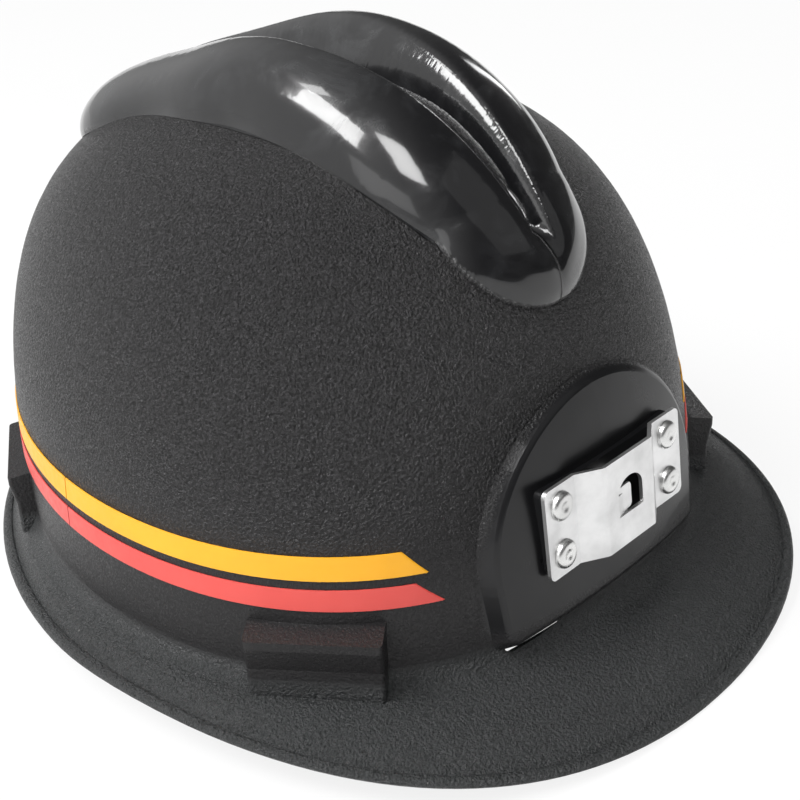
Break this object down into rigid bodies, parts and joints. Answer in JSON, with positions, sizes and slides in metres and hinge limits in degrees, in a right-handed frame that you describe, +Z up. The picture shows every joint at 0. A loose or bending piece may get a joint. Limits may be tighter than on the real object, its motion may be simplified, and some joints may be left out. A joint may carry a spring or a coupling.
{
  "type": "miner's safety helmet",
  "caption": "Full-brim hard hat with a split crown ridge, a metal lamp bracket on the brow, two coloured bands and a ratchet suspension inside.",
  "frame": {"origin": "centre of the bounding box on the plane that the rim stands on", "axes": "+Z up, -Y to the front, +X to the wearer's left"},
  "size_m": [0.232, 0.285, 0.1678],
  "materials": {
    "shell_plastic": "grained moulded thermoplastic, black",
    "bracket_steel": "pressed sheet, satin zinc",
    "rivet_aluminium": "turned, satin",
    "tape_yellow": "reflective tape, yellow",
    "tape_red": "reflective tape, red",
    "clip_steel": "spring sheet, satin",
    "key_plastic": "moulded, dark",
    "webbing": "woven polyester webbing, dark",
    "band_plastic": "moulded flexible strip, dark",
    "pad_fabric": "foam-backed knitted fabric, dark",
    "case_plastic": "moulded, dark",
    "gear_plastic": "acetal, natural white",
    "knob_plastic": "moulded, dark, ribbed grip"
  },
  "bodies": {
    "shell": {"shell": "shell_plastic", "lamp_bracket": "bracket_steel", "bracket_rivets": "rivet_aluminium", "stripe_yellow": "tape_yellow", "stripe_red": "tape_red", "cable_clip": "clip_steel", "clip_rivet": "rivet_aluminium"},
    "harness": {"key_front_left": "key_plastic", "key_front_right": "key_plastic", "key_rear_left": "key_plastic", "key_rear_right": "key_plastic", "crown_strap_lower": "webbing", "crown_strap_upper": "webbing", "headband": "band_plastic", "brow_pad": "pad_fabric", "band_arm_left": "band_plastic", "band_arm_right": "band_plastic"},
    "nape_unit": {"ratchet_housing": "case_plastic", "ratchet_cover": "case_plastic", "pawl_spring": "gear_plastic", "nape_pad": "pad_fabric"},
    "knob": {"ratchet_knob": "knob_plastic", "ratchet_pinion": "gear_plastic"},
    "rack_left": {"rack_left": "band_plastic"},
    "rack_right": {"rack_right": "band_plastic"}
  },
  "joints": [
    {"name": "suspension_unplug", "type": "slide", "parent": "shell", "child": "harness", "axis": [0, 0, -1], "range_m": [0, 0.12]},
    {"name": "nape_slide", "type": "slide", "parent": "harness", "child": "nape_unit", "axis": [0, -1, 0], "range_m": [0, 0.01178]},
    {"name": "knob_turn", "type": "hinge", "parent": "nape_unit", "child": "knob", "pos_m": [0, 0.088, 0.03], "axis": [0, 1, 0], "range_deg": [0, 100.5]},
    {"name": "rack_left_slide", "type": "slide", "parent": "harness", "child": "rack_left", "axis": [-0.7071, -0.7071, 0], "range_m": [0, 0.01671], "deforming": ["band_arm_left"]},
    {"name": "rack_right_slide", "type": "slide", "parent": "harness", "child": "rack_right", "axis": [0.7071, -0.7071, 0], "range_m": [0, 0.01671], "deforming": ["band_arm_right"]}
  ],
  "couplings": [
    {"joint": "knob_turn", "follows": "nape_slide", "rad_per_m": 148.15},
    {"joint": "rack_left_slide", "follows": "nape_slide", "ratio": 1.4142},
    {"joint": "rack_right_slide", "follows": "nape_slide", "ratio": 1.4142}
  ]
}
